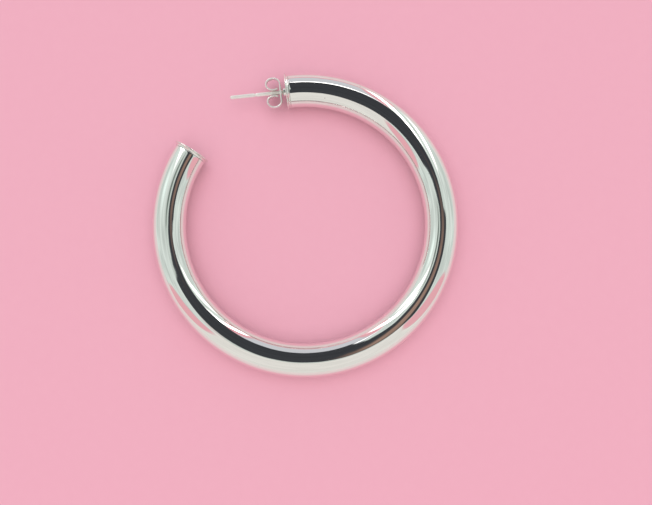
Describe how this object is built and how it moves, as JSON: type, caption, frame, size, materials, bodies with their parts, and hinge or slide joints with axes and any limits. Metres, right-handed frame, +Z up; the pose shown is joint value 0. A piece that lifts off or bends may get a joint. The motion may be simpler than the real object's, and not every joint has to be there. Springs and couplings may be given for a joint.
{
  "type": "hoop earring",
  "caption": "Polished tube hoop earring for a pierced ear: an open ring with capped ends, an ear post at one end and a butterfly nut that slides on it.",
  "frame": {"origin": "the middle of the hoop, on the surface that it lies on", "axes": "+Z up, along the hoop's axis; +Y from the hoop's middle to its top, near the post end; +X to the right seen from above, with the opening at the upper left"},
  "size_m": [0.06, 0.0602, 0.0074],
  "materials": {
    "tube": "mirror-polished silver",
    "caps": "polished silver, post drawn",
    "nut": "tumbled silver sheet"
  },
  "bodies": {
    "earring": {"hoop_tube": "tube", "post_end_cap": "caps", "free_end_cap": "caps"},
    "nut": {"ear_nut": "nut"}
  },
  "joints": [
    {"name": "nut_slide", "type": "slide", "parent": "earring", "child": "nut", "axis": [-0.9945, -0.1045, 0], "range_m": [-0.00025, 0.0066]}
  ]
}
